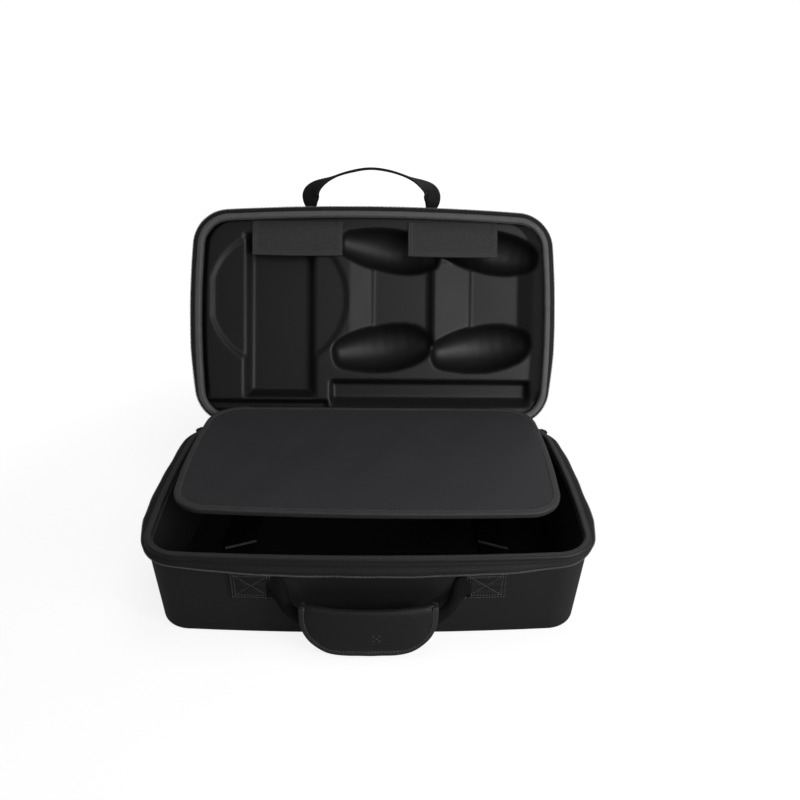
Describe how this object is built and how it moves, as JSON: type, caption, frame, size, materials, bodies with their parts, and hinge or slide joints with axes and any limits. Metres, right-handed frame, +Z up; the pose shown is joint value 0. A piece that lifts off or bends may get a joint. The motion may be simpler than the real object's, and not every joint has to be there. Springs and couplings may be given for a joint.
{
  "type": "console storage case",
  "caption": "Open hard-shell fabric case for a game console, with a moulded tray in the lid, a padded divider, hook-and-loop straps and carrying handles",
  "frame": {"origin": "Under the middle of the base shell, on the surface the case stands on.", "axes": "+X to the right along the width, +Y to the hinge at the back, +Z up."},
  "size_m": [0.422, 0.4235, 0.361],
  "materials": {
    "shell_fabric": "matte",
    "binding_fabric": "satin",
    "zip_tape": "matte",
    "webbing": "matte",
    "grip_fabric": "matte",
    "hinge_fabric": "matte",
    "floor_webbing": "matte",
    "slider_metal": "satin",
    "tray_lining": "matte",
    "flap_fabric": "matte",
    "divider_cover": "satin"
  },
  "bodies": {
    "base": {"base_shell": "shell_fabric", "base_rim_binding": "binding_fabric", "base_zipper_tape": "zip_tape", "base_handle_patch_left": "webbing", "base_handle_patch_right": "webbing", "hinge_tape": "hinge_fabric", "floor_strap_left_front": "floor_webbing", "floor_strap_left_rear": "floor_webbing", "floor_strap_right_front": "floor_webbing", "floor_strap_right_rear": "floor_webbing", "zipper_slider_left": "slider_metal", "zipper_slider_right": "slider_metal"},
    "lid": {"lid_shell": "shell_fabric", "lid_rim_binding": "binding_fabric", "lid_zipper_tape": "zip_tape", "lid_tray": "tray_lining", "lid_flap_left": "flap_fabric", "lid_flap_right": "flap_fabric", "divider_hinge_strip": "hinge_fabric", "lid_handle_patch_left": "webbing", "lid_handle_patch_right": "webbing"},
    "divider": {"divider_board": "divider_cover", "divider_binding": "binding_fabric"},
    "base_handle": {"base_handle_strap": "webbing", "base_handle_grip": "grip_fabric"},
    "lid_handle": {"lid_handle": "webbing"},
    "pull_left": {"zipper_pull_left": "slider_metal"},
    "pull_right": {"zipper_pull_right": "slider_metal"}
  },
  "joints": [
    {"name": "lid_hinge", "type": "hinge", "parent": "base", "child": "lid", "pos_m": [0, 0.1235, 0.094], "axis": [-1, 0, 0], "range_deg": [-115.3, 20], "deforming": ["hinge_tape"]},
    {"name": "divider_hinge", "type": "hinge", "parent": "lid", "child": "divider", "pos_m": [0, 0.13129, 0.1058], "axis": [-1, 0, 0], "range_deg": [-20.3, 116.6]},
    {"name": "base_handle_swing", "type": "hinge", "parent": "base", "child": "base_handle", "pos_m": [0, -0.122, 0.068], "axis": [-1, 0, 0], "range_deg": [0, 80], "deforming": ["base_handle_strap"]},
    {"name": "lid_handle_swing", "type": "hinge", "parent": "lid", "child": "lid_handle", "pos_m": [0, 0.25668, 0.30554], "axis": [-1, 0, 0], "range_deg": [-15, 85]},
    {"name": "pull_left_swing", "type": "hinge", "parent": "base", "child": "pull_left", "pos_m": [-0.19906, 0.11812, 0.0865], "axis": [0.7071, 0.7071, 0], "range_deg": [0, 110]},
    {"name": "pull_right_swing", "type": "hinge", "parent": "base", "child": "pull_right", "pos_m": [0.19906, 0.11812, 0.0865], "axis": [0.7071, -0.7071, 0], "range_deg": [0, 110]}
  ],
  "couplings": [
    {"joint": "divider_hinge", "follows": "lid_hinge", "ratio": -1.0104}
  ]
}
